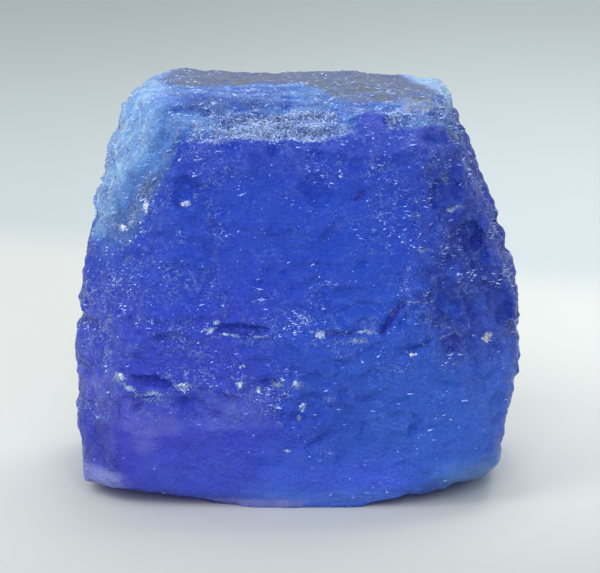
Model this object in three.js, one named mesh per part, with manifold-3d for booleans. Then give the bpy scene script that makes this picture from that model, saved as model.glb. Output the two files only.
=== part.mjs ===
// A blocky crystal of blue halite (rock salt), 52 mm wide, standing on its cleaved base.
//
// It is one piece. The block began as a cleavage cube, and dissolving softened it: the faces lean in
// towards a smaller top, the upright edges are blunted, and the top steps down in terraces along the
// cube's cleavage. The front has a sunken panel with a ledge below it, and slots and pits that
// follow the same cleavage.
//
// Millimetres. +X is to the right, +Y to the back and +Z up. The origin is the centre of the base.

import * as THREE from "three";
import { ImprovedNoise } from "three/addons/math/ImprovedNoise.js";
import { mergeVertices } from "three/addons/utils/BufferGeometryUtils.js";
import Module from "manifold-3d";

// ---------------------------------------------------------------- driving dimensions

const WIDTH = 52; // the widest, across the lower third
const DEPTH = 41;
const HEIGHT = 45.3;
const LEDGE_HEIGHT = 21; // where the front turns from its lower face to its upper one
const HEART = new THREE.Vector3(0, 0, LEDGE_HEIGHT); // every facet is seen from this point inside

const GRID = { across: 26, deep: 20, high: 24 }; // cells along X, Y and Z
const EDGE_SHARPNESS = 60; // higher makes the edges between facets crisper
const SEAT_SNAP = 0.45; // what is lower than this lies flat on the base

// The facets of the block. turn is degrees from the front towards the right, rise is degrees that
// the facet looks upwards, and through is a point on it.
const FACETS = [
  { name: "top", turn: 90, rise: 89, through: [0, 0, HEIGHT] },
  { name: "base", turn: 0, rise: -90, through: [0, 0, 0] },

  { name: "front lower left", turn: -7, rise: -5, through: [-10, -19.7, 15] },
  { name: "front lower right", turn: 10, rise: -6, through: [8, -19.8, 15] },
  { name: "front foot", turn: -2, rise: -19, through: [0, -19.5, 6.5] },
  { name: "front upper", turn: 1, rise: 13, through: [0, -20.2, LEDGE_HEIGHT] },
  { name: "front top bevel", turn: -2, rise: 46, through: [0, -13.2, 42.4] },

  { name: "right upper", turn: 86, rise: 20.5, through: [22.6, 0, 30] },
  { name: "right middle", turn: 88, rise: 3, through: [25.5, 0, 18.5] },
  { name: "right lower", turn: 87, rise: -14, through: [24.7, 0, 11] },
  { name: "right foot", turn: 78, rise: -48, through: [22.9, -6, 2.9] },

  { name: "left top bevel", turn: -98, rise: 46, through: [-18.9, 0, 44.7] },
  { name: "left shoulder", turn: -102, rise: 21, through: [-21.4, -1, 41.8] },
  { name: "left upper", turn: -88, rise: 11, through: [-23.7, 0, 32] },
  { name: "left lower", turn: -92, rise: -4, through: [-25.3, 0, 12] },
  { name: "left front foot", turn: -28, rise: -74, through: [-11.3, -18, 1.2] },

  { name: "back upper", turn: 178, rise: 12, through: [0, 19.2, 28] },
  { name: "back lower", turn: 183, rise: -5, through: [0, 20.6, 14] },
  { name: "back top bevel", turn: 176, rise: 52, through: [0, 16, 43.8] },
  { name: "back foot", turn: 170, rise: -42, through: [0, 17.6, 2.2] },

  { name: "right front blunt", turn: 44, rise: 12, through: [17.9, -14.9, 24] },
  { name: "right front foot", turn: 42, rise: -45, through: [18.1, -14.6, 2.7] },
  { name: "right front corner", turn: 48, rise: 40, through: [15.9, -10, 43] },
  { name: "left front blunt", turn: -54, rise: 2, through: [-22.2, -15.2, 16] },
  { name: "left front corner", turn: -50, rise: 16, through: [-18.5, -11, 38] },
  { name: "right back blunt", turn: 132, rise: 9, through: [18.8, 15.6, 22] },
  { name: "left back blunt", turn: -136, rise: 6, through: [-20.8, 15.6, 22] },
];

// The lumps that dissolving left, as sizes across and heights.
const BROAD_LUMPS = { across: 13, height: 0.7 };
const FINE_LUMPS = { across: 5.2, height: 0.22 };

// The terraces round the front's upper left: each is a layer of the cleavage that lies parallel to
// the front. In front of its depth the block is cut back to an arch, which has this top and left
// edge, and whose left edge leans outwards going down.
const TERRACES = [
  { depth: -10.6, top: 43.9, left: -15.4, corner: 3, lean: 24 },
  { depth: -11.8, top: 42.7, left: -14.2, corner: 4, lean: 28 },
  { depth: -13, top: 41.5, left: -12.9, corner: 5, lean: 28 },
];

// The sunken panel of the upper front, as corners across and up, its depth, and its rim's width.
const PANEL = {
  outline: [
    [-9.3, 21],
    [11, 21.2],
    [13.8, 40.8],
    [-11, 41.2],
  ],
  depth: 0.7,
  rim: 1.1,
};

// Slots and pits on the front: where, half their size across, up and inwards, and how far they turn.
const FRONT_HOLLOWS = [
  { x: -6.3, z: 21, size: [3.8, 0.5, 1.5], turn: 0 }, // under the panel, left
  { x: 4.9, z: 20.5, size: [2.9, 0.45, 1.3], turn: -3 }, // under the panel, right
  { x: 12.3, z: 22.6, size: [2.7, 0.55, 0.9], turn: 46 }, // the step beside it
  { x: -16.6, z: 14.8, size: [2.8, 0.7, 1.6], turn: -4 }, // the open slot at the left
  { x: -4, z: 14.9, size: [2.7, 0.45, 1.1], turn: 3 },
  { x: 2.6, z: 8.6, size: [2.6, 0.6, 0.7], turn: 32 },
  { x: -12.8, z: 36, size: [1.8, 1.8, 1.2], turn: 0 }, // the round pit at the upper left
  { x: 1.9, z: 36.1, size: [1.6, 2.2, 0.8], turn: 20 },
];

// Hollows elsewhere, each found by its direction from the heart, and half its size.
const ROUND_HOLLOWS = [
  { turn: 52, rise: 34, size: [2.8, 2.2, 0.8] },
  { turn: 60, rise: 18, size: [2.6, 3.4, 0.8] },
  { turn: 46, rise: 6, size: [2.4, 2.9, 0.7] },
  { turn: 66, rise: 1, size: [2.8, 2.4, 0.8] },
  { turn: 98, rise: 14, size: [3.6, 2.6, 1.2] },
  { turn: 108, rise: -12, size: [2.8, 3.4, 1.1] },
  { turn: -69, rise: 1, size: [1.4, 1.1, 1.1] }, // the nick in the left edge
  { turn: -98, rise: -14, size: [3.8, 1.4, 1.2] },
  { turn: -118, rise: 12, size: [3.0, 2.4, 1.1] },
  { turn: 168, rise: 20, size: [4.4, 1.2, 1.3] },
  { turn: 195, rise: -8, size: [3.6, 1.3, 1.2] },
  { turn: 150, rise: -20, size: [2.6, 2.4, 1.0] },
];
const HOLLOW_FACES = { round: 9, along: 7 };

// ---------------------------------------------------------------- the block

const radians = THREE.MathUtils.degToRad;

// The direction that looks turn degrees right of the front and rise degrees above level.
function heading(turn, rise) {
  const level = Math.cos(radians(rise));
  return new THREE.Vector3(
    Math.sin(radians(turn)) * level,
    -Math.cos(radians(turn)) * level,
    Math.sin(radians(rise)),
  );
}

const planes = FACETS.map(({ turn, rise, through }) => {
  const normal = heading(turn, rise);
  const distance = normal.dot(new THREE.Vector3(...through).sub(HEART));
  return { normal, distance };
});

// How far the block reaches from its heart along a direction: the nearest facet, with the edges
// rounded by a power mean of all the facets that the direction meets.
function reach(direction) {
  let sum = 0;
  for (const { normal, distance } of planes) {
    const facing = normal.dot(direction);
    if (facing > 0) sum += (facing / distance) ** EDGE_SHARPNESS;
  }
  return sum ** (-1 / EDGE_SHARPNESS);
}

const noise = new ImprovedNoise();

function lump(point, { across, height }) {
  return height * noise.noise(point.x / across + 7.3, point.y / across + 2.1, point.z / across + 4.7);
}

// How far the panel sinks a point of the front: fully inside its outline, and less over the rim.
function sunk(point) {
  if (point.y > 0) return 0;
  const { outline, depth, rim } = PANEL;
  let share = 1;
  outline.forEach(([x, z], i) => {
    const [nextX, nextZ] = outline[(i + 1) % outline.length];
    const along = new THREE.Vector2(nextX - x, nextZ - z).normalize();
    const inside = along.x * (point.z - z) - along.y * (point.x - x);
    share *= THREE.MathUtils.smoothstep(inside, -rim / 2, rim / 2);
  });
  return share * depth;
}

// The point of the block's surface along a direction from the heart, lumps and panel included.
function surfacePoint(direction) {
  const point = direction.clone().multiplyScalar(reach(direction)).add(HEART);
  const relief = lump(point, BROAD_LUMPS) + lump(point, FINE_LUMPS) - sunk(point);
  return point.addScaledVector(direction, relief);
}

// The point of the front surface at a place across and up, found by halving the span of depths.
function frontPoint(x, z) {
  let outside = -DEPTH;
  let inside = 0;
  for (let step = 0; step < 30; step += 1) {
    const middle = (outside + inside) / 2;
    const ray = new THREE.Vector3(x, middle, z).sub(HEART);
    const surface = surfacePoint(ray.clone().normalize()).sub(HEART).length();
    if (ray.length() > surface) outside = middle;
    else inside = middle;
  }
  return new THREE.Vector3(x, inside, z);
}

function blockGeometry() {
  const box = new THREE.BoxGeometry(WIDTH, DEPTH, HEIGHT, GRID.across, GRID.deep, GRID.high);
  const places = box.getAttribute("position");
  const place = new THREE.Vector3();
  for (let i = 0; i < places.count; i += 1) {
    place.fromBufferAttribute(places, i).normalize();
    const point = surfacePoint(place);
    if (point.z < SEAT_SNAP) point.z = 0;
    places.setXYZ(i, point.x, point.y, point.z);
  }
  return box;
}

// ---------------------------------------------------------------- what is cut away

// A flattened ball centred on the surface, with its thin side facing inwards along look.
function hollowGeometry(centre, look, [across, up, inwards], turn = 0) {
  const ball = new THREE.SphereGeometry(1, HOLLOW_FACES.round, HOLLOW_FACES.along);
  ball.scale(across, up, inwards).rotateZ(radians(turn));
  const facing = new THREE.Object3D();
  facing.up.set(0, 0, 1);
  facing.position.copy(centre);
  facing.lookAt(centre.clone().add(look));
  facing.updateMatrix();
  return ball.applyMatrix4(facing.matrix);
}

// A frame round a terrace's arch, from its depth out past the front. Below, the leaning left edge
// leaves the block, so the terrace fades out by itself.
function terraceGeometry({ depth, top, left, corner, lean }) {
  const clear = WIDTH;
  const frame = new THREE.Shape();
  frame.moveTo(-clear, -clear);
  frame.lineTo(clear, -clear);
  frame.lineTo(clear, clear);
  frame.lineTo(-clear, clear);
  frame.closePath();
  const arch = new THREE.Path();
  const edge = (z) => left - (top - z) * Math.tan(radians(lean));
  arch.moveTo(edge(-HEIGHT / 2), -HEIGHT / 2);
  arch.lineTo(clear / 2, -HEIGHT / 2);
  arch.lineTo(clear / 2, top);
  arch.lineTo(left + corner, top);
  arch.quadraticCurveTo(left, top, edge(top - corner), top - corner);
  arch.closePath();
  frame.holes.push(arch);
  // Turned so that the outline's Y is up, the extrusion runs towards the front.
  return new THREE.ExtrudeGeometry(frame, { depth: clear, bevelEnabled: false, curveSegments: 6 })
    .rotateX(Math.PI / 2)
    .translate(0, depth, 0);
}

// ---------------------------------------------------------------- cutting and the finished part

const wasm = await Module();
wasm.setup();

function solid(geometry) {
  const bare = geometry.clone();
  bare.deleteAttribute("normal");
  bare.deleteAttribute("uv");
  const merged = mergeVertices(bare, 1e-4);
  return new wasm.Manifold(
    new wasm.Mesh({
      numProp: 3,
      vertProperties: merged.getAttribute("position").array,
      triVerts: new Uint32Array(merged.index.array),
    }),
  );
}

function geometryOf(manifold) {
  const mesh = manifold.getMesh();
  return new THREE.BufferGeometry()
    .setAttribute("position", new THREE.BufferAttribute(mesh.vertProperties, mesh.numProp))
    .setIndex(new THREE.BufferAttribute(mesh.triVerts, 1));
}

function crystalGeometry() {
  const cuts = [
    ...TERRACES.map(terraceGeometry),
    ...FRONT_HOLLOWS.map(({ x, z, size, turn }) =>
      hollowGeometry(frontPoint(x, z), heading(0, 0), size, turn),
    ),
    ...ROUND_HOLLOWS.map(({ turn, rise, size }) => {
      const look = heading(turn, rise);
      return hollowGeometry(surfacePoint(look), look, size);
    }),
  ];
  const whole = cuts.reduce((block, cut) => block.subtract(solid(cut)), solid(blockGeometry()));
  const geometry = geometryOf(whole);
  geometry.computeBoundingBox();
  const middle = geometry.boundingBox.getCenter(new THREE.Vector3());
  geometry.translate(-middle.x, -middle.y, 0);
  geometry.computeVertexNormals();
  return geometry;
}

const halite = new THREE.MeshStandardMaterial({ color: 0x2f4fb8, roughness: 0.35, metalness: 0 });
const crystal = new THREE.Mesh(crystalGeometry(), halite);
crystal.name = "crystal";

const part = new THREE.Group();
part.add(crystal);

export default part;
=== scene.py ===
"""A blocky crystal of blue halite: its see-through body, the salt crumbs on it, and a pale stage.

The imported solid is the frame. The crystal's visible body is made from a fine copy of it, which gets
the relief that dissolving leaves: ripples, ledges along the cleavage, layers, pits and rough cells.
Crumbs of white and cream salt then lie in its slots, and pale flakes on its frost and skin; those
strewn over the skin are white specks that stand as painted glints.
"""

import math
from functools import reduce
from types import SimpleNamespace

import bmesh
import bpy
import numpy as np
from bpy.props import FloatProperty, FloatVectorProperty, IntProperty, PointerProperty
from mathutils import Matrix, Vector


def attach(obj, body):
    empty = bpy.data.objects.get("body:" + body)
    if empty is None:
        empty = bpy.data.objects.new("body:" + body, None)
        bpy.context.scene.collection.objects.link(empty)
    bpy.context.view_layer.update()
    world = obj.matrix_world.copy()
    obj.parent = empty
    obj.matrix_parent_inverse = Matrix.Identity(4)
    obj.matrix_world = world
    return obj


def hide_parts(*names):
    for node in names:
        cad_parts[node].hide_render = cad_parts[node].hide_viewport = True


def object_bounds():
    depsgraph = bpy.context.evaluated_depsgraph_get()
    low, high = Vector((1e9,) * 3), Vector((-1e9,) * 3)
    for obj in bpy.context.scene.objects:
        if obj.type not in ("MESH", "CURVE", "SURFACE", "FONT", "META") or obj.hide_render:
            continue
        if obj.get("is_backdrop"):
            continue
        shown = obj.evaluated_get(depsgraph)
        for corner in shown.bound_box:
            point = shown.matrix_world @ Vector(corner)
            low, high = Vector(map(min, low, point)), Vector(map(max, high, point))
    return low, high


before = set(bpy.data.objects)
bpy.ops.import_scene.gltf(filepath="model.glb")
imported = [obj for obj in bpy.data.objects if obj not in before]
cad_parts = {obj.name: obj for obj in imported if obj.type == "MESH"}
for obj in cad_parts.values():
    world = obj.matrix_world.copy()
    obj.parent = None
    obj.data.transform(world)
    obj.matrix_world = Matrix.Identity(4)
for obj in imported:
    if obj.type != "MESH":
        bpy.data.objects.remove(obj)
CAD_LOW, CAD_HIGH = (np.array(corner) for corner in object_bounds())

bl_info = {
    "name": "Blue halite crystal",
    "version": (1, 0, 0),
    "blender": (4, 5, 0),
    "location": "View3D > Sidebar > Halite",
    "description": "Makes a dissolved block of blue halite with its salt crumbs and a pale stage",
    "category": "Add Mesh",
}

MM = 0.001
BODY = "root"
NODE = "crystal"
HALITE_IOR = 1.544
VIEW_WIDTH = 600 / 8.6 * MM  # 600 pixels, at 8.6 for each millimetre

# ---------------------------------------------------------------- what a user would change


def length(name, description, default):
    return FloatProperty(
        name=name, description=description, default=default, min=0.0, precision=5,
        subtype="DISTANCE", unit="LENGTH",
    )


def amount(name, description, default):
    return FloatProperty(name=name, description=description, default=default, min=0.0)


def power(name, description, default):
    return FloatProperty(
        name=name, description=description, default=default, min=0.0, unit="POWER",
    )


def share(name, description, default):
    return FloatProperty(
        name=name, description=description, default=default, min=0.0, max=1.0, subtype="FACTOR",
    )


def colour(name, description, default):
    return FloatVectorProperty(
        name=name, description=description, default=default, size=3, min=0.0, max=1.0,
        subtype="COLOR",
    )


class HaliteRelief(bpy.types.PropertyGroup):
    """Sizes of the relief on the crystal."""

    cell: length("Mesh cell", "Size of the faces of the body's mesh", 0.35 * MM)
    smoothing: IntProperty(
        name="Smoothing", description="Passes that soften the solid's facets", default=4, min=0,
    )
    waver: length("Waver", "How far edges and slots waver from the solid's", 0.9 * MM)
    ripple_size: length("Ripple size", "Distance between the ripples", 3.4 * MM)
    ripple_height: length("Ripple height", "Height of the ripples", 0.7 * MM)
    ledge_spacing: length("Ledge spacing", "Distance between ledges of the cleavage", 2.6 * MM)
    ledge_height: length("Ledge height", "Height of the ledges", 0.3 * MM)
    layer_height: length("Layer height", "Height of the layers on the terraces", 0.6 * MM)
    pit_size: length("Pit size", "Distance between the places where pits can be", 2.6 * MM)
    pit_depth: length("Pit depth", "Depth of the round pits", 0.5 * MM)
    cell_size: length("Rough cell size", "Size of the cells on the rough sides", 1.25 * MM)
    cell_height: length("Rough cell height", "Height of the rough cells", 0.32 * MM)


class HaliteClarity(bpy.types.PropertyGroup):
    """How the body takes light, and its colours."""

    ior: amount("IOR", "Halite's index of refraction", HALITE_IOR)
    shine: share("Shine", "Strength of the reflections, 0.5 for a clean face", 0.35)
    transmission: share("Transmission", "Share of the light that goes in", 0.32)
    absorption: colour("Absorption colour", "Colour that the body lets through", (0.1, 0.38, 0.99))
    density: amount("Absorption density", "Absorption for each metre of the body", 55.0)
    royal: colour("Royal blue", "The body's main colour", (0.006, 0.073, 0.69))
    azure: colour("Azure", "Its colour at the lower right", (0.025, 0.145, 0.79))
    violet: colour("Violet blue", "Its colour at the lower left", (0.046, 0.062, 0.75))
    glow: colour("Glow", "Its colour at the foot, where light comes through", (0.05, 0.145, 1.0))
    # Navy is the salt's dark grains and cracks, and also painted shade in its hollows, on its right
    # bevel and towards its top.
    navy_and_painted_shade: colour("Navy", "Colour of its hollows, cracks and dark grains", (0.006, 0.025, 0.41))
    light: colour("Light blue", "Its colour on the terraces and along the foot", (0.18, 0.46, 1.0))
    pale: colour("Pale blue", "Its colour where it is nearly clear", (0.46, 0.79, 1.0))
    grain: colour("Light grains", "Colour of the light grains in its skin", (0.2, 0.33, 1.0))
    slate: colour("Slate", "Colour of weathered places and between the frost", (0.035, 0.08, 0.4))
    thin_frost: colour("Thin frost", "Colour of the thinnest frost", (0.22, 0.38, 1.0))
    frost: colour("Frost", "Colour of the thickest frost", (0.69, 0.82, 1.0))
    # The level top's grey is a painted reflection of the sky seen at a grazing angle.
    painted_top_reflection: colour("Dull top", "Colour of the weathered top", (0.2, 0.245, 0.3))
    milky: colour("Milky", "Colour of the milky patches and the haze", (0.34, 0.38, 0.98))


class HaliteCrumbs(bpy.types.PropertyGroup):
    """The salt crumbs."""

    size: length("Crumb size", "Size of the largest crumbs", 0.43 * MM)
    flake: length("Flake size", "Size of the largest of the scattered flakes", 0.52 * MM)
    crumbs: amount("Crumb density", "Crumbs for each square metre of crust", 2.6e7)
    frost: amount("Frost density", "Flakes for each square metre of frost", 7.5e7)
    # The flakes strewn elsewhere are white specks that stand as painted glints.
    flakes: amount("Flake density", "Flakes for each square metre elsewhere", 1.1e7)
    seed: IntProperty(name="Seed", description="Another seed places them anew", default=4)
    white: colour("White salt", "Colour of the clean crumbs", (0.82, 0.86, 1.0))
    cream: colour("Cream salt", "Colour of the stained crumbs", (0.72, 0.66, 0.52))
    flake_white: colour("White flakes", "Colour of the palest flakes", (0.66, 0.81, 1.0))
    blue: colour("Blue flakes", "Colour of the bluest flakes", (0.26, 0.42, 1.0))


class HaliteStage(bpy.types.PropertyGroup):
    """The floor, the light and the camera."""

    # The near floor's grey is painted shade.
    near: colour("Near floor", "Colour of the floor before the crystal", (0.375, 0.4, 0.38))
    floor: colour("Floor", "Colour of the floor round the crystal", (0.66, 0.68, 0.645))
    back: colour("Back floor", "Colour of the floor behind it", (0.545, 0.6, 0.61))
    far: colour("Far floor", "Colour of the floor far behind it", (0.455, 0.5, 0.5))
    sky: colour("Sky", "Colour of the light from straight above", (0.6, 0.63, 0.66))
    wall: colour("Wall", "Colour of the level light from behind", (0.4, 0.44, 0.47))
    side: colour("Left side", "Colour of the level light from the left", (0.95, 0.98, 1.0))
    room: colour("Room", "Colour of the level light from the front", (0.16, 0.17, 0.19))
    sky_strength: amount("Sky strength", "Strength of all four", 1.07)
    top_power: power("Top lamp power", "Power of the lamp overhead and behind", 1.65)
    left_power: power("Left lamp power", "Power of the lamp at the front left", 1.44)
    front_power: power("Front lamp power", "Power of the lamp in front", 2.115)
    lamp_size: length("Lamp size", "Length of the lamps' sides", 0.36)
    distance: length("Camera distance", "From the camera to its aim", 330.0 * MM)
    rise: FloatProperty(
        name="Camera rise", description="Angle of the camera above level",
        default=math.radians(12.0), subtype="ANGLE", unit="ROTATION",
    )
    aim: length("Aim height", "Height of the point that the camera looks at", 21.7 * MM)
    width: length("View width", "Width that the camera sees at its aim", VIEW_WIDTH)


# ---------------------------------------------------------------- node trees as expressions


class Reading:
    """An output of a node, which Python's operators work on."""

    def __init__(self, nodes, socket):
        self.nodes = nodes
        self.socket = socket

    @property
    def is_vector(self):
        return self.socket.type in ("VECTOR", "RGBA")

    def joined(self, operation, *values):
        kind = "ShaderNodeVectorMath" if self.is_vector else "ShaderNodeMath"
        return self.nodes.add(kind, {"operation": operation}, dict(enumerate(values)))

    def __add__(self, other):
        return self.joined("ADD", self, other)

    __radd__ = __add__

    def __sub__(self, other):
        return self.joined("SUBTRACT", self, other)

    def __rsub__(self, other):
        return self.joined("SUBTRACT", other, self)

    def __mul__(self, other):
        by_vector = isinstance(other, tuple) or getattr(other, "is_vector", False)
        if self.is_vector and not by_vector:
            return self.nodes.add(
                "ShaderNodeVectorMath", {"operation": "SCALE"}, {"Vector": self, "Scale": other},
            )
        return self.joined("MULTIPLY", self, other)

    __rmul__ = __mul__

    def __truediv__(self, other):
        return self.joined("DIVIDE", self, other)

    def __rtruediv__(self, other):
        return self.joined("DIVIDE", other, self)

    def floor(self):
        return self.joined("FLOOR", self)

    def sized(self):
        return self.joined("ABSOLUTE", self)

    def unit(self):
        return self.joined("NORMALIZE", self)

    def at_most(self, other):
        return self.joined("MINIMUM", self, other)

    def at_least(self, other):
        return self.joined("MAXIMUM", self, other)


def highest(*readings):
    """The largest of some numbers."""
    return reduce(Reading.at_least, readings)


class Nodes:
    """Adds nodes to one tree. All lengths in its patterns are in millimetres."""

    def __init__(self, tree):
        self.tree = tree

    def add(self, kind, settings=None, inputs=None, output=0):
        """A node of that kind, with its settings made first and then its sockets."""
        node = self.tree.nodes.new(kind)
        for name, value in (settings or {}).items():
            setattr(node, name, value)
        for key, value in (inputs or {}).items():
            socket = self.find(node.inputs, key)
            if isinstance(value, Reading):
                self.tree.links.new(value.socket, socket)
            else:
                socket.default_value = value
        return Reading(self, self.find(node.outputs, output))

    @staticmethod
    def find(sockets, key):
        if isinstance(key, int):
            return sockets[key]
        for socket in sockets:
            if socket.identifier == key or (socket.name == key and socket.enabled):
                return socket
        raise KeyError(key)

    def split(self, vector):
        node = self.add("ShaderNodeSeparateXYZ", inputs={0: vector}).socket.node
        return [Reading(self, socket) for socket in node.outputs]

    def vector(self, x, y, z):
        return self.add("ShaderNodeCombineXYZ", inputs={0: x, 1: y, 2: z})

    def mix(self, factor, first, second):
        """second where factor is 1, for colours."""
        first, second = (
            value if isinstance(value, Reading) else (*value, 1.0) for value in (first, second)
        )
        return self.add(
            "ShaderNodeMix", {"data_type": "RGBA"},
            {"Factor_Float": factor, "A_Color": first, "B_Color": second}, "Result_Color",
        )

    def smooth(self, value, start, end):
        """0 up to start and 1 from end on. start may be the larger one."""
        return self.add(
            "ShaderNodeMapRange", {"interpolation_type": "SMOOTHSTEP"},
            {"Value": value, "From Min": start, "From Max": end},
        )

    def noise(self, place, size, detail=3.0, roughness=0.55, stretch=(1, 1, 1), shift=(0, 0, 0)):
        """Noise from 0 to 1 with lumps of about that size, longer where stretch is above 1."""
        squeeze = tuple(1 / (size * s) for s in stretch)
        return self.add(
            "ShaderNodeTexNoise", {"noise_dimensions": "3D"},
            {"Vector": place * squeeze + shift, "Scale": 1.0, "Detail": detail,
             "Roughness": roughness},
        )


# ---------------------------------------------------------------- geometry nodes


def geometry_tree(name, labels):
    """A new geometry tree with those numbers as inputs, as (nodes, inputs by name)."""
    tree = bpy.data.node_groups.new(name, "GeometryNodeTree")
    tree.interface.new_socket("Geometry", in_out="INPUT", socket_type="NodeSocketGeometry")
    for label in labels:
        kind = "NodeSocketInt" if label == "Seed" else "NodeSocketFloat"
        tree.interface.new_socket(label, in_out="INPUT", socket_type=kind)
    tree.interface.new_socket("Geometry", in_out="OUTPUT", socket_type="NodeSocketGeometry")
    nodes = Nodes(tree)
    source = tree.nodes.new("NodeGroupInput")
    given = {socket.name: Reading(nodes, socket) for socket in source.outputs if socket.name}
    return nodes, given


def close_tree(nodes, geometry, material):
    """Ends a geometry tree in Realize Instances and Set Material."""
    real = nodes.add("GeometryNodeRealizeInstances", inputs={"Geometry": geometry})
    dressed = nodes.add(
        "GeometryNodeSetMaterial", inputs={"Geometry": real, "Material": material},
    )
    out = nodes.tree.nodes.new("NodeGroupOutput")
    nodes.tree.links.new(dressed.socket, out.inputs[0])
    return nodes.tree


def run_tree(ob, tree, labels, settings):
    """Runs a geometry tree on an object, and keeps the result as its plain mesh."""
    modifier = ob.modifiers.new(tree.name, "NODES")
    modifier.node_group = tree
    for item in tree.interface.items_tree:
        if item.in_out == "INPUT" and item.name in labels:
            modifier[item.identifier] = getattr(settings, labels[item.name])
    keep_evaluated(ob)


def keep_evaluated(ob):
    bpy.context.view_layer.update()
    depsgraph = bpy.context.evaluated_depsgraph_get()
    mesh = bpy.data.meshes.new_from_object(ob.evaluated_get(depsgraph), depsgraph=depsgraph)
    ob.modifiers.clear()
    old, ob.data = ob.data, mesh
    bpy.data.meshes.remove(old)


def corners(mesh):
    places = np.empty(len(mesh.vertices) * 3, np.float32)
    mesh.vertices.foreach_get("co", places)
    return places.reshape(-1, 3)


def linked(ob):
    bpy.context.scene.collection.objects.link(ob)
    return ob


def finished(ob, smooth=True):
    """Keeps a piece inside the solid's box, shades it and lets it ride on the body."""
    places = np.clip(corners(ob.data), CAD_LOW, CAD_HIGH)
    ob.data.vertices.foreach_set("co", places.astype(np.float32).ravel())
    if smooth:
        ob.data.shade_smooth()
    else:
        ob.data.shade_flat()
    ob.data.update()
    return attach(ob, BODY)


# ---------------------------------------------------------------- the crystal's body

# Places on the front, in millimetres: x to the right and z up.
# Crusts of salt, as x, z, half their width and height, and how thick the crust is.
CRUSTS = [
    (-9.9, 20.9, 0.5, 0.4, 1.0),  # the grains at the left end of the upper slot
    (-9.1, 21.9, 0.35, 0.4, 1.0),
    (-7.6, 20.4, 1.9, 0.2, 0.66),
    (-5.2, 21.6, 3.2, 0.22, 0.45),
    (-3.9, 20.3, 2.0, 0.2, 0.78),
    (-3.2, 19.8, 1.6, 0.4, 0.45),
    (-1.6, 21.5, 0.45, 1.0, 0.5),
    (2.2, 20.5, 0.55, 0.4, 1.1),  # along the slot right of it
    (1.2, 20.9, 0.25, 0.25, 0.8),
    (6.6, 20.5, 0.7, 0.3, 0.75),
    (7.6, 20.7, 0.8, 0.3, 0.8),
    (6.4, 19.7, 1.8, 0.5, 0.62),
    (4.6, 19.9, 1.2, 0.3, 0.5),
    (21.3, 18.7, 0.6, 0.75, 1.1),  # the cream grain at the right edge
    (-17.4, 33.9, 0.45, 0.95, 1.1),
    (-20.6, 31.2, 0.75, 0.4, 1.1),
    (-12.6, 34.6, 0.75, 0.4, 0.95),  # under the round pit
    (-11.6, 35.3, 0.5, 0.5, 0.6),
    (-20.2, 15.0, 1.3, 0.8, 0.7),  # round the open slot at the left
    (-19.0, 14.1, 1.2, 0.35, 0.8),
    (-16.6, 13.5, 2.8, 0.45, 0.68),
    (-12.9, 14.5, 1.3, 0.9, 0.64),
    (-16.0, 12.7, 2.6, 0.6, 0.5),
    (-6.4, 17.0, 0.35, 0.25, 0.9),
    (-6.6, 14.8, 0.6, 0.5, 0.85),
    (-5.6, 15.6, 0.9, 0.25, 0.6),
    (-4.6, 14.3, 0.35, 0.35, 1.0),
    (-2.4, 14.9, 1.2, 0.6, 0.6),
    (-0.2, 15.0, 1.0, 0.8, 0.6),
    (0.3, 12.4, 0.5, 0.7, 0.8),
    (-0.1, 10.9, 0.4, 0.6, 0.9),
    (-1.4, 7.2, 0.5, 0.3, 0.9),
    (12.6, 18.1, 0.35, 0.22, 1.0),
    (12.0, 23.9, 1.6, 0.3, 0.6),
    (17.6, 33.4, 0.9, 0.6, 0.65),
    (13.8, 29.4, 0.9, 0.5, 0.6),
    (16.4, 36.6, 0.9, 1.6, 0.5),
    (8.6, 39.4, 0.4, 0.4, 0.6),
    (9.7, 43.6, 0.35, 0.2, 0.7),  # round the small pit in the frost
    (10.4, 42.7, 0.5, 0.2, 0.7),
]
# Fine edges and healed cracks, as the ends of each stretch in x and z, and how white it is.
LINES = [
    (-10.1, 40.0, -9.3, 31.0, 0.5),  # the panel's left edge
    (-9.3, 31.0, -8.5, 22.4, 0.6),
    (14.3, 37.9, 12.4, 29.0, 0.3),  # its right edge
    (12.4, 29.0, 11.3, 24.2, 0.8),
    (11.3, 24.2, 9.3, 21.5, 0.6),  # the step at its foot
    (11.5, 24.2, 15.0, 23.9, 0.5),
    (-1.7, 6.8, 0.8, 8.7, 0.5),
    (0.8, 8.7, 3.3, 10.4, 0.4),
    (-7.7, 20.0, -7.5, 16.4, 0.25),
    (-7.5, 16.4, -2.2, 16.5, 0.25),
    (-2.2, 16.5, -1.9, 19.9, 0.3),
    (-18.5, 32.8, -14.4, 32.9, 0.6),  # the crest under the round pit
    (-14.4, 32.9, -13.0, 30.8, 0.6),
    (-21.2, 31.0, -18.5, 32.8, 0.4),
    (11.4, 18.5, 12.9, 18.6, 0.7),
    (12.9, 18.6, 14.7, 19.6, 0.6),
    (17.0, 16.5, 19.2, 16.3, 0.7),
    (8.3, 38.2, 12.4, 38.6, 0.6),
]
# Cracks, in the same way, and how deep each is.
CRACKS = [
    (9.3, 20.8, 10.4, 22.4, 1.0),  # the step right of the slots
    (10.4, 22.4, 11.6, 24.0, 1.0),
    (3.6, 20.6, 5.9, 20.5, 0.6),
    (12.2, 18.4, 14.6, 19.3, 0.5),
    (-21.6, 13.6, -20.4, 10.0, 0.5),
    (6.0, 35.2, 7.0, 35.9, 0.8),
    (9.8, 43.2, 10.5, 43.2, 4.0),  # the small pit
]
FRONT = -6.0  # marks are made only in front of this depth
SEAT = 0.3  # what is lower than this is laid on the base

# The arch that frames the panel: the lean of its left side, where that side is at its top, and
# the height of its crown.
ARCH_LEAN = math.radians(28.0)
ARCH_LEFT, ARCH_TOP = -12.9, 41.5
ARCH_CROWN = 41.3

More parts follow.
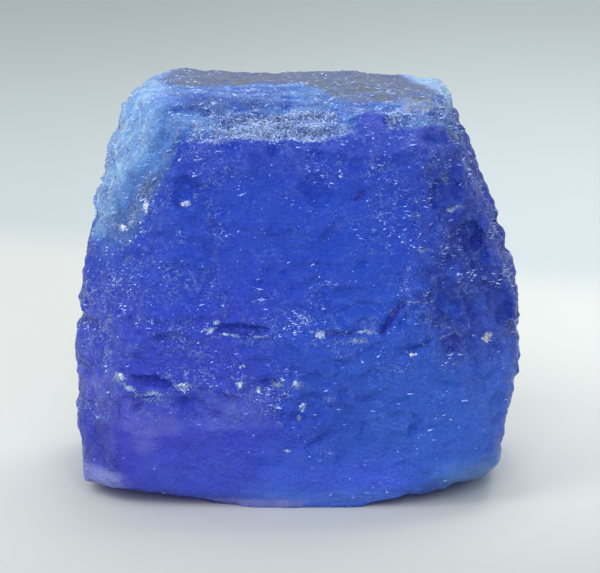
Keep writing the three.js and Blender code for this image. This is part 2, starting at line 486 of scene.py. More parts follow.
# How far single forms of the relief go in or out, in millimetres.
FOOT_LIFT = 0.95  # the right foot, raised off the base
FOOT_JUT = 0.8  # and pushed out to the right
FOLD_DEPTH = 0.6  # the folds of the clear corner at the left
CLEAR_SWELL = 0.35  # that corner as a whole, outwards
NOTCH_HEIGHT, NOTCH_DEPTH = 19.8, 0.9  # the notch in the left edge
EDGE_DEPTH = 0.3  # the fine edges
CRACK_DEPTH = 0.6
CRUST_LUMPS = 1.1
HEART = (0.0, 0.0, 21.0)  # the point that the relief is pressed towards

# The inputs of the two geometry trees, with the setting that each takes.
RELIEF_INPUTS = {
    "Ripple Size": "ripple_size", "Ripple Height": "ripple_height",
    "Ledge Spacing": "ledge_spacing", "Ledge Height": "ledge_height",
    "Layer Height": "layer_height", "Pit Size": "pit_size", "Pit Depth": "pit_depth",
    "Cell Size": "cell_size", "Cell Height": "cell_height", "Waver": "waver",
}
CRUMB_INPUTS = {
    "Crumb Size": "size", "Flake Size": "flake", "Crumb Density": "crumbs",
    "Frost Density": "frost", "Flake Density": "flakes", "Seed": "seed",
}


def fine_copy(relief):
    """A fine, even mesh of the solid, with its facets softened."""
    mesh = bpy.data.meshes.new("crystal_body")
    shape = bmesh.new()
    shape.from_mesh(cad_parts[NODE].data)
    bmesh.ops.remove_doubles(shape, verts=shape.verts, dist=0.005 * MM)
    shape.to_mesh(mesh)
    shape.free()
    ob = linked(bpy.data.objects.new("crystal_body", mesh))
    remesh = ob.modifiers.new("even", "REMESH")
    remesh.mode = "VOXEL"
    remesh.voxel_size = relief.cell
    soften = ob.modifiers.new("soften", "SMOOTH")
    soften.factor = 0.5
    soften.iterations = relief.smoothing
    keep_evaluated(ob)
    return ob


def mark_salt(mesh):
    """Writes at each point how thick the crust is, and how near a fine edge and a crack are."""
    places = corners(mesh) / MM
    across, rise = places[:, 0], places[:, 2]
    crust, edge, crack = (np.zeros(len(places)) for _ in range(3))
    for x, z, half_width, half_height, most in CRUSTS:
        away = ((across - x) / half_width) ** 2 + ((rise - z) / half_height) ** 2
        crust = np.maximum(crust, most * np.exp(-away))
    for mark, stretches, spread in ((edge, LINES, 0.2), (crack, CRACKS, 0.12)):
        for x0, z0, x1, z1, most in stretches:
            run, climb = x1 - x0, z1 - z0
            along = ((across - x0) * run + (rise - z0) * climb) / (run * run + climb * climb)
            along = np.clip(along, 0.0, 1.0)
            away = (across - x0 - along * run) ** 2 + (rise - z0 - along * climb) ** 2
            np.maximum(mark, most * np.exp(-away / spread), out=mark)
    np.minimum(crack, 1.0, out=crack)
    for name, value in {"crust": crust, "edge": edge, "crack": crack}.items():
        value[places[:, 1] > FRONT] = 0.0
        written = mesh.attributes.new(name, "FLOAT", "POINT")
        written.data.foreach_set("value", value.astype(np.float32))


def stored(nodes, geometry, fields):
    """Keeps those numbers as attributes of the points."""
    for name, value in fields.items():
        geometry = nodes.add(
            "GeometryNodeStoreNamedAttribute", {"data_type": "FLOAT", "domain": "POINT"},
            {"Geometry": geometry, "Name": name, "Value": value},
        )
    return geometry


def attribute(nodes, name):
    if nodes.tree.type == "GEOMETRY":
        return nodes.add("GeometryNodeInputNamedAttribute", {"data_type": "FLOAT"}, {"Name": name})
    return nodes.add("ShaderNodeAttribute", {"attribute_name": name}, output="Fac")


def arch_distance(nodes, x, y, z):
    """How far out a point of the front is past the arch that frames the panel."""
    left = (ARCH_LEFT - (ARCH_TOP - z) * math.tan(ARCH_LEAN) - x) * math.cos(ARCH_LEAN)
    above = z - ARCH_CROWN - nodes.smooth(x, 1.0, 9.0) * 1.2 + (y + 10).at_least(0.0) * 0.5
    return left.at_least(above)


def layers(nodes, at, shift):
    """Noise drawn out along the arch, from 0 to 1, for layers and folds."""
    x, y, z = nodes.split(at)
    out = arch_distance(nodes, x, y, z) + (nodes.noise(at, 4.0, 2.0) - 0.5) * 1.6
    along = nodes.vector(out, (x + z) * 0.11, y * 0.11)
    return nodes.noise(along, 0.8, 3.0, 0.6, shift=(shift, 0, 0))


def zones(nodes, at):
    """Where the surface is of each kind, from 0 to 1, by name."""
    smooth = nodes.smooth
    x, y, z = nodes.split(at)
    front = smooth(y, -3.0, -7.0)
    wander = (nodes.noise(at, 5.0, 3.0) - 0.5) * 5
    fine = (nodes.noise(at, 2.2, 4.0, 0.65, stretch=(1.7, 1, 1)) - 0.5) * 2.6
    out = arch_distance(nodes, x, y, z)

    # The smooth lower left of the front, and the middle of its milky spot.
    calm = smooth(z + wander, 10.6, 9.4) * smooth(x + wander, 8.0, -1.0) * smooth(y, -8.0, -14.0)
    glow = 1 - ((x + 17.2) * (x + 17.2) + (z - 7.7) * (z - 7.7)) * 0.25

    # The terraces, and the band of frost at the arch's crown, which is thick from the left to the
    # middle. Both leave a gap round the small pit.
    gap = ((x + fine * 0.4 - 8.0) * 0.45).sized().at_least((z - 43.1).sized() * 1.1)
    gap = smooth(gap, 1.0, 0.7)
    terrace = (
        smooth(out + wander * 0.15, -0.3, 0.5) * smooth(z + wander, 27.0, 32.0)
        * smooth(y + wander * 0.4, 1.0, -0.5) * (1 - gap)
    )
    thick = smooth(x + fine, -9.5, -7.0) * smooth(x + fine * 1.4, 5.0, 2.0)
    thin = smooth(nodes.noise(at, 3.0, 3.0, 0.6, shift=(1, 6, 2)), 0.44, 0.56) * 0.75
    lower = z + fine * 0.6 - smooth(x, 2.0, 8.0) * 1.4 + smooth(x, -8.0, -11.0) * 0.4
    upper = z + fine * 0.7 - smooth(x, 2.0, 6.0) * 0.5
    band = (
        smooth(lower, 40.9, 41.5) * smooth(upper, 44.4, 43.7) * thick.at_least(thin)
        * smooth(x + fine, -14.5, -11.5) * smooth(x + fine, 19.0, 16.5) * (1 - gap) * front
    )

    # The nearly clear upper left and the clear corner at the top right.
    clear = smooth(out + wander * 0.5, 2.6, 4.6)
    clear = clear * smooth(x + wander * 1.2 + fine * 0.8, -13.5, -17.5)
    clear = clear * smooth(z + wander + fine + smooth(y, 0.0, 14.0) * -5, 27.0, 33.0)
    corner = smooth(x + y * 0.3 + wander * 0.4 + fine * 0.4, 14.4, 16.4)
    corner = corner * smooth(z + wander * 0.5 + fine * 0.4, 41.6, 43.8)

    # Milky salt at the lower left corner, along the foot and in webs on the left rim.
    low_left = smooth(x + wander * 0.4, -19.0, -21.5) * smooth(z + wander * 0.2, 4.6, 3.4)
    foot = smooth(z, 1.3, 0.8) * smooth(x + wander, -12.0, -9.0) * smooth(x + wander, 2.0, -1.0)
    rim = smooth(x, -20.5, -22.5) * smooth(z + wander, 11.0, 13.0) * smooth(z + wander, 25.0, 22.0)
    webs = smooth(nodes.noise(at, 2.4, 3.0, 0.6, shift=(5, 5, 5)), 0.5, 0.62)

    # The rough bevel at the right, and the places where the skin of the front is even.
    bevel = smooth(x + wander, 14.0, 18.5) * smooth(z + wander, 13.0, 20.0)
    panel = smooth((x * (1 / 9)).sized() + wander * 0.1, 1.2, 0.7) * smooth(z + wander, 38.5, 36.0)
    even = highest(
        calm,
        panel * smooth(z, 23.0, 25.5) * 0.7,
        smooth(z + wander * 1.4, 19.0, 15.0) * smooth(x + wander, 2.0, 7.0) * 0.75,
        smooth(z + wander, 11.5, 8.5),
        smooth(nodes.noise(at, 8.0, 2.0, shift=(3, 3, 3)), 0.52, 0.64) * 0.6,
    )
    return {
        "calm": calm, "band": band, "terrace": terrace, "clear": clear.at_least(corner),
        "milky": highest(low_left, foot, glow * calm * 0.25, rim * webs * 0.5), "bevel": bevel,
        "even": even * front * (1 - terrace) * (1 - bevel),
    }


def swing(nodes, given, place, at):
    """How far each point moves first, so that edges and slots waver.

    The solid's steps under the top are also blurred, and its right foot is lifted and pushed out.
    """
    smooth = nodes.smooth
    x, y, z = nodes.split(at)
    coarse = nodes.add(
        "ShaderNodeTexNoise", {"noise_dimensions": "3D"},
        {"Vector": place, "Scale": 1 / (2.4 * MM), "Detail": 2.0}, "Color",
    )
    ends = smooth(x, 13.0, 18.0) * smooth(z, 14.0, 20.0) + smooth(x, -18.5, -21.5)
    far = given["Waver"] * (smooth(z, 0.2, 2.0) * (1 + ends * 0.5))
    mean = nodes.add(
        "GeometryNodeBlurAttribute", {"data_type": "FLOAT_VECTOR"},
        {"Value": place, "Iterations": 60}, "Value",
    )
    steps = smooth(z, 39.5, 41.0) * smooth(y, -7.0, -9.5) * smooth(x, -14.5, -12.0)
    fore = smooth(y, 4.0, -4.0)
    lift = smooth(z, 4.0, 0.0) * smooth(x, 5.0, 11.0) * smooth(x, 21.0, 17.0)
    jut = smooth(z, 0.3, 2.5) * smooth(z, 7.0, 3.0) * smooth(x, 16.0, 21.0)
    foot = nodes.vector(jut * fore * (FOOT_JUT * MM), 0.0, lift * fore * (FOOT_LIFT * MM))
    return (coarse - (0.5, 0.5, 0.5)) * far + (mean - place) * steps + foot


def relief_depth(nodes, given, place, at, up):
    """How deep the relief goes in at each point, in metres."""
    smooth = nodes.smooth
    x, y, z = nodes.split(at)
    names = ("calm", "terrace", "even", "clear", "edge", "crack", "crust")
    calm, terrace, even, clear, edge, crack, crust = (attribute(nodes, name) for name in names)
    side = smooth(x + nodes.noise(at, 8.0, 1.0) * 4, 12.5, 20.0) * smooth(z, 11.0, 19.0)

    def voronoi(spacing, output):
        return nodes.add(
            "ShaderNodeTexVoronoi", {"feature": "F1"},
            {"Vector": place, "Scale": 1 / spacing}, output,
        )

    ripples = nodes.add(
        "ShaderNodeTexNoise", {"noise_dimensions": "3D"},
        {"Vector": place, "Scale": 1 / given["Ripple Size"], "Detail": 5.0, "Roughness": 0.62},
    )
    course = z * MM / given["Ledge Spacing"] + nodes.noise(at, 7.0, 2.0) * 3.4 + x * 0.03
    past = course - course.floor()
    ledge = smooth(past, 0.0, 0.84) * smooth(past, 1.0, 0.9)
    ledge_share = smooth(nodes.noise(at, 5.0, 1.0, shift=(4, 1, 7)), 0.4, 0.62)
    pit_chance = nodes.split(voronoi(given["Pit Size"], "Color"))[0]
    pit = smooth(voronoi(given["Pit Size"], "Distance"), 0.36, 0.08)
    pit = pit * smooth(pit_chance, 0.66 - 0.3 * side, 0.86 - 0.3 * side)
    rough_share = (side + smooth(y, 2.0, 12.0) + smooth(x, -19.0, -24.0)).at_most(1.0)
    rough = (1 - voronoi(given["Cell Size"], "Distance")) * (rough_share * 0.85 + 0.15)
    lumps = nodes.noise(at, 0.9, 2.0, shift=(9, 2, 4))
    steps = smooth(layers(nodes, at, 0), 0.42, 0.56)
    folds = smooth(layers(nodes, at, 5), 0.4, 0.56) * smooth(x, -9.0, -13.0) * clear
    notch = smooth((z - NOTCH_HEIGHT).sized(), 1.0, 0.2)
    notch = notch * smooth(x, -22.0, -24.0) * smooth(y, 7.0, 2.0)

    depth = (
        smooth(ripples, 0.68, 0.32) * given["Ripple Height"] * (0.42 + 0.46 * side)
        * (1 - 0.75 * even)
        + ledge * ledge_share * given["Ledge Height"] * (1 - terrace)
        + steps * terrace * given["Layer Height"]
        + pit * given["Pit Depth"]
        + rough * given["Cell Height"] * (1 - 0.5 * even)
        + folds * (FOLD_DEPTH * MM)
        - clear * smooth(x, -12.0, -16.0) * (CLEAR_SWELL * MM)
        + notch * (NOTCH_DEPTH * MM)
        + edge * (EDGE_DEPTH * MM)
        + crack * (CRACK_DEPTH * MM)
        + (lumps - 0.42) * crust.at_most(0.7) * (CRUST_LUMPS * MM)
    )
    depth = depth * (1 - 0.8 * calm)
    depth = depth * (0.35 + 0.65 * smooth(z, 2.0, 8.0)) * smooth(z, 0.2, 1.6)
    return depth * (1 - 0.6 * smooth(up, 0.75, 0.95))


def relief_tree(material):
    """Makes edges and slots waver, marks the zones, and presses the relief in."""
    nodes, given = geometry_tree("dissolved_relief", RELIEF_INPUTS)
    place = nodes.add("GeometryNodeInputPosition")
    at = place * (1 / MM)
    wavered = nodes.add(
        "GeometryNodeSetPosition",
        inputs={"Geometry": given["Geometry"], "Offset": swing(nodes, given, place, at)},
    )
    marked = stored(nodes, wavered, zones(nodes, at))

    normal = nodes.add("GeometryNodeInputNormal")
    depth = relief_depth(nodes, given, place, at, nodes.split(normal)[2])
    inwards = (nodes.vector(*HEART) - at).unit()
    inwards = (inwards * 0.65 - normal * 0.35).unit()
    marked = stored(nodes, marked, {"hollow": nodes.smooth(depth * (1 / MM), 0.3, 0.95)})
    moved = nodes.add(
        "GeometryNodeSetPosition", inputs={"Geometry": marked, "Offset": inwards * depth},
    )
    return close_tree(nodes, moved, material)


def settle(mesh):
    """Lays the underside flat on the base."""
    places = corners(mesh)
    places[places[:, 2] < SEAT * MM, 2] = 0.0
    mesh.vertices.foreach_set("co", places.ravel())


def new_material(name):
    material = bpy.data.materials.new(name)
    material.use_nodes = True
    material.node_tree.nodes.clear()
    return material, Nodes(material.node_tree)


def output(nodes, **shaders):
    end = nodes.tree.nodes.new("ShaderNodeOutputMaterial")
    for name, shader in shaders.items():
        nodes.tree.links.new(shader.socket, end.inputs[name])


def millimetres(nodes):
    return nodes.add("ShaderNodeTexCoord", output="Object") * (1 / MM)


def skin_spot(nodes):
    """What the colours of a spot are worked out from: its place, its marks, and noises."""
    place = millimetres(nodes)
    x, y, z = nodes.split(place)
    names = (
        "crust", "edge", "crack", "even", "band", "terrace", "clear", "milky", "bevel", "hollow",
    )
    clouds = nodes.noise(place, 3.6, 5.0, 0.65, shift=(3, 8, 1))
    drift = nodes.noise(place, 11.0, 1.0) - 0.5
    sugar = nodes.noise(place, 0.24, 3.0, 0.75)
    rim = nodes.smooth(x + drift * 3, -19.0, -21.5) * nodes.smooth(z + drift * 6, 29.0, 25.0)
    return SimpleNamespace(
        nodes=nodes, place=place, x=x, y=y, z=z,
        up=nodes.split(nodes.add("ShaderNodeNewGeometry", output="Normal"))[2],
        clouds=clouds, drift=drift, sugar=sugar, left_rim=rim,
        grains=nodes.noise(place, 0.55, 4.0, 0.75, stretch=(1.7, 1.7, 1)),
        sparkle=nodes.smooth(sugar, 0.46, 0.56),
        folds=nodes.smooth(layers(nodes, place, 5), 0.56, 0.42),
        **{name: attribute(nodes, name) for name in names},
    )


def low_terrace(spot):
    """The weathered patches where the terraces end at the left."""
    patches = spot.nodes.smooth(spot.clouds, 0.38, 0.56)
    return spot.terrace * spot.nodes.smooth(spot.z + spot.drift * 6, 38.5, 34.0) * patches


def body_colour(spot, clarity):
    """The salt's own colour: violet, royal blue and azure from left to right.

    The foot glows, with haze above it at the left. The terraces and the edge of the base are light.
    """
    mix, smooth, drift = spot.nodes.mix, spot.nodes.smooth, spot.drift
    azure = smooth(spot.x + drift * 16, -6.0, 16.0) * smooth(spot.z + drift * 12, 34.0, 10.0)
    violet = smooth(spot.x + drift * 14, 4.0, -14.0) * smooth(spot.z + drift * 12, 34.0, 10.0)
    body = mix(azure, clarity.royal, clarity.azure)
    body = mix(violet, body, clarity.violet)
    foot = smooth(spot.z + drift * 5, 9.5, 4.0) * (
        smooth(spot.x + drift * 8, -10.0, -2.0).at_least(
            smooth(spot.x + drift * 4, -19.5, -15.0) * 0.35
        )
    )
    body = mix(foot * smooth(spot.x + drift * 8, 16.0, 8.0), body, clarity.glow)
    haze = smooth(spot.z + drift * 3, 9.3, 9.9) * smooth(spot.z + drift * 8, 17.0, 12.0)
    haze = haze * smooth(spot.x + drift * 8, -2.0, -8.0) * smooth(spot.clouds, 0.3, 0.6)
    body = mix(haze * 0.27, body, clarity.milky)

    streaks = smooth(layers(spot.nodes, spot.place, 0), 0.58, 0.4)
    lit = (0.3 + 0.7 * streaks).at_least(smooth(spot.x + drift * 4, -12.5, -15.0) * 0.85)
    body = mix(spot.terrace * lit, body, clarity.light)
    fringe = smooth(spot.z + drift * 2, 3.6, 0.8) * smooth(spot.x, -9.0, -4.0) * 0.25
    right_foot = smooth(spot.x + drift * 4, 13.5, 19.0) * smooth(spot.z + drift * 3, 7.0, 2.0)
    return mix(fringe.at_least(right_foot * 0.8), body, clarity.light)


def dark_grains_and_painted_shade(spot):
    """How dark the skin is, from 0 to 1: its grains, cracks and left edge, and painted shade in its
    hollows, on the right bevel and towards its top.
    """
    smooth, drift, clouds = spot.nodes.smooth, spot.drift, spot.clouds
    # Painted shade in the relief's hollows, with darker patches at random.
    dark = spot.hollow * 0.4 + smooth(clouds, 0.5, 0.7) * 0.25
    dark = dark + smooth(spot.grains, 0.52, 0.66) * 0.4 + smooth(spot.sugar, 0.52, 0.62) * 0.3
    # Painted shade: the right bevel darker in patches.
    dark = (dark + spot.bevel * smooth(clouds, 0.3, 0.55) * 0.5).at_most(1.0)
    left_foot = smooth(spot.x + drift * 3, -19.0, -20.5) * smooth(spot.z + drift * 4, 3.5, 5.5)
    left_foot = left_foot * smooth(spot.z + drift * 8, 14.0, 11.0)
    return highest(
        dark * (1 - 0.8 * spot.even) * (1 - 0.5 * spot.terrace) * (1 - 0.7 * spot.clear),
        # Painted shade: darker towards the top of the front.
        smooth(spot.z + drift * 6, 34.0, 39.0) * (1 - spot.terrace) * 0.3,
        smooth(spot.crack, 0.25, 0.6),
        left_foot * smooth(clouds, 0.3, 0.5) * 0.6,
        spot.left_rim * smooth(clouds, 0.47, 0.6) * (1 - spot.milky) * 0.55,
    )


def grained(spot, body, clarity):
    """The body with dark and light grains and painted shade, and with its clear, weathered and milky
    places.
    """
    mix, smooth = spot.nodes.mix, spot.nodes.smooth
    body = mix(dark_grains_and_painted_shade(spot), body, clarity.navy_and_painted_shade)
    bright = smooth(spot.grains, 0.47, 0.36) * (1 - 0.8 * spot.even)
    bright = bright.at_least(smooth(spot.edge + (spot.clouds - 0.5) * 1.2, 0.42, 0.65) * 0.45)
    body = mix(bright * 0.24, body, clarity.grain)
    body = mix(spot.clear * (0.36 + 0.64 * spot.folds), body, clarity.pale)
    body = mix(low_terrace(spot) * 0.55, body, clarity.slate)
    return mix(spot.milky * (0.6 + 0.4 * smooth(spot.clouds, 0.4, 0.6)), body, clarity.milky)


def frost_share(spot):
    """How thick the frost is, from 0 to 1."""
    nodes, smooth = spot.nodes, spot.nodes.smooth
    place, drift, clouds = spot.place, spot.drift, spot.clouds

    # Dots and thin veins, in groups.
    groups = smooth(nodes.noise(place, 3.0, 3.0, 0.65, shift=(8, 1, 5)), 0.46, 0.62)
    groups = (groups * (1 - 0.4 * spot.bevel)).at_least(
        smooth(spot.x + drift * 3, -19.0, -21.0) * smooth(spot.z + drift * 9, 27.0, 23.0) * 0.8
    )
    thread = nodes.noise(place, 1.5, 2.0, 0.6, stretch=(1.6, 1, 1), shift=(2, 2, 6)) - 0.5
    veins = smooth(thread.sized(), 0.028, 0.008) * smooth(spot.sugar, 0.42, 0.52)
    dots = smooth(spot.sugar, 0.42, 0.33)
    specks = (dots * 0.85).at_least(veins * (0.5 + 0.35 * spot.left_rim))

    # The lips of hollows, wisps in the clear salt, and the strip at the top right.
    lip = smooth(spot.hollow, 0.1, 0.3) * smooth(spot.hollow, 0.7, 0.4) * smooth(clouds, 0.42, 0.6)
    wisps = smooth((layers(nodes, place, 9) - 0.5).sized(), 0.05, 0.01).at_least(spot.folds * 0.35)
    strip = smooth(spot.x + drift * 3, 10.5, 11.8)
    strip = strip * smooth(spot.z + (clouds - 0.5) * 1.5, 43.3, 43.8)
    strip = strip * smooth(spot.y + (clouds - 0.5) * 2, -6.0, -7.5)
    crust = smooth(spot.crust + (spot.sugar - 0.5) * 1.5 + (spot.grains - 0.5), 0.35, 0.6)
    terrace = spot.terrace * spot.sparkle * smooth(clouds, 0.42, 0.6)
    return highest(
        spot.band * spot.sparkle,
        lip * spot.sparkle * 0.45 * (1 - spot.even),
        specks * groups * (1 - 0.7 * spot.even),
        terrace * (0.6 + 0.2 * low_terrace(spot)),
        spot.clear * wisps * smooth(clouds, 0.36, 0.52),
        spot.clear * smooth(spot.x, 6.0, 10.0) * (0.6 + 0.35 * spot.sparkle),
        strip * (0.55 + 0.42 * spot.sparkle),
        crust * 0.68,
    )


def frosted(spot, body, frost, clarity):
    """The body under its frost, with slate between the band's grains and on a weathered shelf."""
    mix, smooth = spot.nodes.mix, spot.nodes.smooth
    body = mix(spot.band * (1 - spot.sparkle) * 0.6, body, clarity.slate)
    skin = mix(smooth(frost, 0.0, 0.6), body, clarity.thin_frost)
    white = mix(spot.clear * 0.7, clarity.frost, clarity.pale)
    skin = mix(smooth(frost, 0.4, 1.0), skin, white)

    wave = (spot.clouds - 0.5) * 1.6
    shelf = smooth(spot.z + wave, 43.6, 44.1) * smooth(spot.z + wave, 45.5, 45.0)
    shelf = shelf * smooth(spot.y, -5.0, -7.0) * smooth(spot.x, -14.0, -12.0)
    return mix(shelf * smooth(spot.x + spot.drift * 6, -3.0, -6.0) * 0.5, skin, clarity.slate)


def level_top(spot):
    """Where the top is level. It is rougher there, and grey is painted on it as a painted reflection
    of the sky.
    """
    smooth = spot.nodes.smooth
    top = smooth(spot.up, 0.8, 0.95) * (1 - spot.clear) * smooth(spot.z, 38.0, 41.0)
    return top * smooth(spot.y + spot.drift * 6 + smooth(spot.x, -1.0, 5.0) * 9, -1.5, 1.0)


def halite(clarity):
    """Clear blue halite with a dissolved skin."""
    material, nodes = new_material("blue_halite")
    smooth = nodes.smooth
    spot = skin_spot(nodes)
    frost, top = frost_share(spot), level_top(spot)
    skin = grained(spot, body_colour(spot, clarity), clarity)
    skin = frosted(spot, skin, frost, clarity)
    # Painted reflection: grey on the level top, for the sky seen at a grazing angle.
    skin = nodes.mix(top * (0.62 + 0.26 * smooth(spot.clouds, 0.35, 0.6)), skin, clarity.painted_top_reflection)
    bumps = spot.grains * 0.9 + spot.sugar * (0.65 + 0.5 * frost)
    bumps = bumps * (1 - 0.5 * spot.clear) + spot.clouds * 0.8
    shader = nodes.add(
        "ShaderNodeBsdfPrincipled",
        inputs={
            "Base Color": skin,
            "Roughness": 0.13 + 0.34 * frost + 0.16 * smooth(spot.grains, 0.4, 0.65) + 0.12 * top,
            "IOR": clarity.ior,
            "Specular IOR Level": clarity.shine,
            "Transmission Weight": clarity.transmission,
            "Normal": nodes.add(
                "ShaderNodeBump", inputs={"Height": bumps, "Strength": 1.0, "Distance": 0.4 * MM},
            ),
        },
    )
    absorbed = nodes.add(
        "ShaderNodeVolumeAbsorption",
        inputs={"Color": (*clarity.absorption, 1.0), "Density": clarity.density},
    )
    output(nodes, Surface=shader, Volume=absorbed)
    return material


class HALITE_OT_crystal(bpy.types.Operator):
    """Makes the crystal's body from a fine copy of the solid"""

    bl_idname = "halite.crystal"
    bl_label = "Crystal"

    def execute(self, context):
        relief = context.scene.halite_relief
        ob = fine_copy(relief)
        mark_salt(ob.data)
        run_tree(ob, relief_tree(halite(context.scene.halite_clarity)), RELIEF_INPUTS, relief)
        settle(ob.data)
        finished(ob)
        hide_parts(NODE)
        return {"FINISHED"}


# ---------------------------------------------------------------- salt crumbs


def shards(nodes, given, turn, density, size, form):
    """Blunt crumbs or pointed flakes of one form, strewn by that density and turned at random."""
    blunt = turn == 0
    seed = given["Seed"]

    def random_vector(low, high, shift):
        return nodes.add(
            "FunctionNodeRandomValue", {"data_type": "FLOAT_VECTOR"},
            {"Min": low, "Max": high, "Seed": seed + shift}, "Value",
        )

    points = nodes.add(
        "GeometryNodeDistributePointsOnFaces", {"distribute_method": "RANDOM"},
        {"Mesh": given["Geometry"], "Density": density, "Seed": seed + turn},
    )
    shard = nodes.add(
        "GeometryNodeMeshCone", {"fill_type": "NGON"},
        {"Vertices": 4 if blunt else 3, "Radius Top": 0.35 if blunt else 0.0,
         "Radius Bottom": 0.6, "Depth": 0.8},
    )
    draw = nodes.add(
        "FunctionNodeRandomValue", {"data_type": "FLOAT"}, {"Seed": seed + 5}, "Value_001",
    )
    spread = random_vector(tuple(0.6 * f for f in form), form, 7)
    spin = random_vector((-3.1, -0.6, -0.7), (3.1, 0.25, 0.7), 11)
    scale = spread * (size * (0.3 + 0.7 * draw * draw * draw))
    return nodes.add(
        "GeometryNodeInstanceOnPoints",
        inputs={"Points": points, "Instance": shard, "Rotation": spin, "Scale": scale},
    )


def crumbs_tree(material):
    """Crumbs in the crusts and flakes all over, standing on the crystal's skin. The flakes strewn
    thinly over the skin are painted glints.
    """
    nodes, given = geometry_tree("salt_crumbs", CRUMB_INPUTS)
    smooth = nodes.smooth
    at = nodes.add("GeometryNodeInputPosition") * (1 / MM)
    up = nodes.split(nodes.add("GeometryNodeInputNormal"))[2]
    crust, edge, even, calm, band, terrace = (
        attribute(nodes, name) for name in ("crust", "edge", "even", "calm", "band", "terrace")
    )
    wide = nodes.noise(at, 4.0, 3.0, 0.6, shift=(2, 5, 9))
    clumps = nodes.noise(at, 0.9, 3.0, 0.7, stretch=(1.6, 1.6, 1))
    clump = smooth(clumps, 0.48, 0.66)
    # Painted glints: white flakes strewn thinly in clumps over the skin.
    sparse_glints = smooth(wide, 0.49, 0.63) * clump * (1 - 0.5 * smooth(up, 0.8, 0.95))
    sparse_glints = (sparse_glints + 0.015 + terrace * clump * 0.5) * (1 - 0.6 * even) * (1 - 0.8 * calm)
    off_base = smooth(nodes.split(at)[2], 0.5, 1.5)
    kinds = [
        ("Crumb", "Crumb", smooth(crust + (clumps - 0.5) * 1.2, 0.52, 0.88), (1.0, 1.0, 0.8)),
        ("Frost", "Flake", band * smooth(clumps, 0.36, 0.6), (0.62, 0.55, 0.55)),
        ("Frost", "Flake", smooth(edge + (clumps - 0.5) * 2.4, 0.6, 1.0) * 0.2, (0.8, 0.6, 0.6)),
        ("Flake", "Flake", sparse_glints, (2.4, 0.45, 0.35)),
        ("Flake", "Flake", sparse_glints * 0.6, (0.7, 0.6, 0.5)),
    ]
    joined = nodes.tree.nodes.new("GeometryNodeJoinGeometry")
    for turn, (often, size, where, form) in enumerate(kinds):
        density = given[f"{often} Density"] * where * off_base
        layer = shards(nodes, given, turn, density, given[f"{size} Size"], form)
        nodes.tree.links.new(layer.socket, joined.inputs[0])
    return close_tree(nodes, Reading(nodes, joined.outputs[0]), material)


def salt(look):
    """Opaque white salt, stained cream at the right, and blue-white flakes, which on the skin stand
    as painted glints.
    """
    material, nodes = new_material("white_salt")
    smooth = nodes.smooth
    place = millimetres(nodes)
    crust = attribute(nodes, "crust")
    stain = smooth(nodes.split(place)[0], 14.0, 19.0) * smooth(crust, 0.1, 0.3)
    speckle = nodes.noise(place, 0.16, 2.0, 0.7)
    crumb = nodes.mix(stain, look.white, look.cream)
    flake = nodes.mix(smooth(speckle, 0.4, 0.6), look.flake_white, look.blue)
    skin = nodes.mix(smooth(crust, 0.3, 0.7), flake, crumb)
    bump = nodes.add(
        "ShaderNodeBump", inputs={"Height": speckle, "Strength": 0.4, "Distance": 0.05 * MM},
    )
    shader = nodes.add(
        "ShaderNodeBsdfPrincipled",
        inputs={
            "Base Color": skin, "Roughness": 0.22 + 0.3 * speckle, "IOR": HALITE_IOR,
            "Normal": bump,
        },
    )
    output(nodes, Surface=shader)
    return material


class HALITE_OT_crumbs(bpy.types.Operator):
    """Lays crumbs of salt in the crystal's slots, and flakes over its skin as painted glints"""

    bl_idname = "halite.crumbs"
    bl_label = "Salt crumbs"

    def execute(self, context):
        look = context.scene.halite_crumbs
        mesh = bpy.data.objects["crystal_body"].data.copy()
        mesh.name = "salt_crumbs"
        ob = linked(bpy.data.objects.new("salt_crumbs", mesh))
        run_tree(ob, crumbs_tree(salt(look)), CRUMB_INPUTS, look)
        finished(ob, smooth=False)
        return {"FINISHED"}


# ---------------------------------------------------------------- the stage

FLOOR_HALF = 2.0  # half the side of the floor, in metres
# The lamps: the setting that holds the power of each, and its place in metres.
LAMPS = {
    "top_lamp": ("top_power", (0.13, 0.26, 0.52)),
    "left_lamp": ("left_power", (-0.4, -0.3, 0.46)),
    "front_lamp": ("front_power", (0.02, -0.54, 0.32)),
}


def floor_material(look):
    """Plain paper, pale round the crystal and greyer far behind, with painted shade: greyer in front
    of it and darker towards the left and the back.
    """
    material, nodes = new_material("pale_floor")
    smooth = nodes.smooth
    x, y, _ = nodes.split(millimetres(nodes))
    # Painted shade: greyer in front of the crystal.
    skin = nodes.mix(smooth(y - x * 0.15, -80.0, 15.0), look.near, look.floor)
    skin = nodes.mix(smooth(y + x * 0.4, 104.0, 142.0), skin, look.back)
    skin = nodes.mix(smooth(y, 140.0, 460.0), skin, look.far)
    shade = smooth(x, 60.0, -60.0) * smooth(y, -40.0, 20.0) * 0.12
    skin = nodes.mix(shade, skin, (0.0, 0.0, 0.0))
    shader = nodes.add("ShaderNodeBsdfPrincipled", inputs={"Base Color": skin, "Roughness": 0.8})
    output(nodes, Surface=shader)
    return material


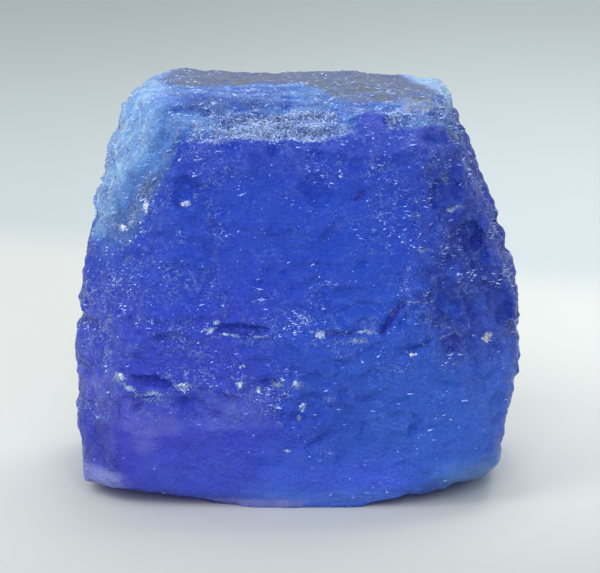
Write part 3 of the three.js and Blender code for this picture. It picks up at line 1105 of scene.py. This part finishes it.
def make_floor(look):
    half = FLOOR_HALF
    mesh = bpy.data.meshes.new("floor")
    mesh.from_pydata(
        [(-half, -half, 0), (half, -half, 0), (half, half, 0), (-half, half, 0)], [],
        [(0, 1, 2, 3)],
    )
    mesh.materials.append(floor_material(look))
    linked(bpy.data.objects.new("floor", mesh))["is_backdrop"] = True


def make_sky(look):
    """A soft sky: one colour overhead, and three round the horizon."""
    world = bpy.data.worlds.new("soft_sky")
    world.use_nodes = True
    world.node_tree.nodes.clear()
    nodes = Nodes(world.node_tree)
    across, back, height = nodes.split(nodes.add("ShaderNodeTexCoord", output="Generated"))
    level = nodes.mix(nodes.smooth(back, -0.9, 0.0), look.room, look.wall)
    level = nodes.mix(nodes.smooth(across, -0.3, -0.9), level, look.side)
    light = nodes.add(
        "ShaderNodeBackground",
        inputs={"Color": nodes.mix(height.at_least(0.0), level, look.sky),
                "Strength": look.sky_strength},
    )
    end = world.node_tree.nodes.new("ShaderNodeOutputWorld")
    world.node_tree.links.new(light.socket, end.inputs["Surface"])
    return world


def make_lamps(look):
    """Square lamps, each turned towards the origin."""
    for name, (setting, (x, y, z)) in LAMPS.items():
        lamp = bpy.data.lights.new(name, "AREA")
        lamp.size = look.lamp_size
        lamp.energy = getattr(look, setting)
        box = linked(bpy.data.objects.new(name, lamp))
        box.location = (x, y, z)
        away = math.sqrt(x * x + y * y + z * z)
        box.rotation_euler = (math.asin(-y / away), math.atan2(x, z), 0.0)


def make_camera(look):
    view = bpy.data.cameras.new("camera")
    view.sensor_fit = "HORIZONTAL"
    view.lens = view.sensor_width * look.distance / look.width
    camera = linked(bpy.data.objects.new("camera", view))
    camera.location = (
        0.0,
        -look.distance * math.cos(look.rise),
        look.aim + look.distance * math.sin(look.rise),
    )
    camera.rotation_euler = (math.pi / 2 - look.rise, 0.0, 0.0)
    return camera


class HALITE_OT_stage(bpy.types.Operator):
    """Makes the floor, the light and the camera"""

    bl_idname = "halite.stage"
    bl_label = "Stage"

    def execute(self, context):
        look = context.scene.halite_stage
        make_floor(look)
        context.scene.world = make_sky(look)
        make_lamps(look)
        context.scene.camera = make_camera(look)
        context.scene.view_settings.view_transform = "Standard"
        return {"FINISHED"}


# ---------------------------------------------------------------- the add-on

# Each operator, with the groups of settings that it reads.
STEPS = {
    "halite.stage": ["halite_stage"],
    "halite.crystal": ["halite_relief", "halite_clarity"],
    "halite.crumbs": ["halite_crumbs"],
}


class HALITE_PT_panel(bpy.types.Panel):
    """Lists what makes the crystal"""

    bl_label = "Blue halite"
    bl_space_type = "VIEW_3D"
    bl_region_type = "UI"
    bl_category = "Halite"

    def draw(self, context):
        for operator, groups in STEPS.items():
            self.layout.operator(operator)
            for settings in (getattr(context.scene, group) for group in groups):
                for name in settings.bl_rna.properties.keys():
                    if name not in ("rna_type", "name"):
                        self.layout.prop(settings, name)


GROUPS = {
    "halite_relief": HaliteRelief,
    "halite_clarity": HaliteClarity,
    "halite_crumbs": HaliteCrumbs,
    "halite_stage": HaliteStage,
}
CLASSES = [*GROUPS.values(), HALITE_OT_stage, HALITE_OT_crystal, HALITE_OT_crumbs, HALITE_PT_panel]


def register():
    for kind in CLASSES:
        bpy.utils.register_class(kind)
    for name, kind in GROUPS.items():
        setattr(bpy.types.Scene, name, PointerProperty(type=kind))


def unregister():
    for name in GROUPS:
        delattr(bpy.types.Scene, name)
    for kind in reversed(CLASSES):
        bpy.utils.unregister_class(kind)


def main():
    register()
    bpy.ops.halite.stage()
    bpy.ops.halite.crystal()
    bpy.ops.halite.crumbs()


if __name__ == "__main__":
    main()
